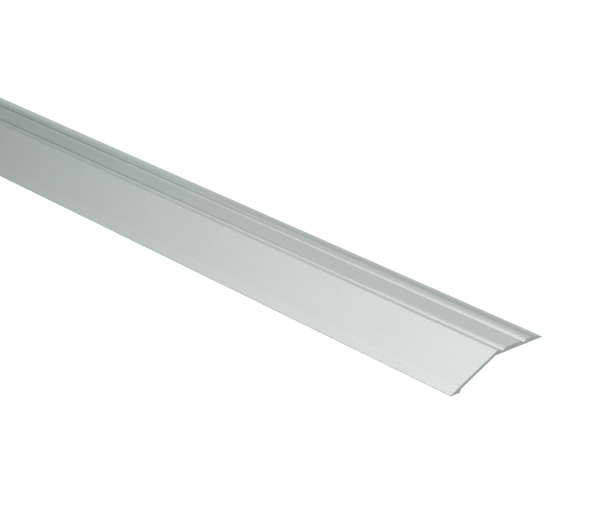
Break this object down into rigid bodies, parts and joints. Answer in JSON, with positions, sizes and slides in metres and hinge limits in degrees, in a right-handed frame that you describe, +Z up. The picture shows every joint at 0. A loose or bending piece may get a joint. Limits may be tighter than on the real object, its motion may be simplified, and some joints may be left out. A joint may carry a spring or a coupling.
{
  "type": "threshold strip",
  "caption": "Ramped metal floor strip that bridges the step between two floors, with a grooved flange, a sloping face, a foot under its toe and peel-off mounting tape.",
  "frame": {"origin": "middle of the strip's footprint, on the lower floor", "axes": "+X along the strip, +Y from the toe towards the back edge of the flange, +Z up; the strip is as it lies in use, with its foot on the lower floor and its flange level"},
  "size_m": [0.93, 0.041, 0.0095],
  "materials": {
    "anodised_aluminium": "matt silver anodised, fine grain along the strip",
    "foam_tape": "white closed-cell foam with clear adhesive on both faces",
    "release_liner": "pale yellow siliconised paper, slightly glossy"
  },
  "bodies": {
    "root": {"threshold_profile": "anodised_aluminium", "foam_tape_edge_side": "foam_tape", "foam_tape_ridge_side": "foam_tape"},
    "edge_liner": {"release_liner_edge_side": "release_liner"},
    "ridge_liner": {"release_liner_ridge_side": "release_liner"}
  },
  "joints": [
    {"name": "edge_liner_peel", "type": "slide", "parent": "root", "child": "edge_liner", "axis": [0, 0.9578, -0.2873], "range_m": [0, 0.02505]},
    {"name": "ridge_liner_peel", "type": "slide", "parent": "root", "child": "ridge_liner", "axis": [0, 0.9578, -0.2873], "range_m": [0, 0.02505]}
  ]
}
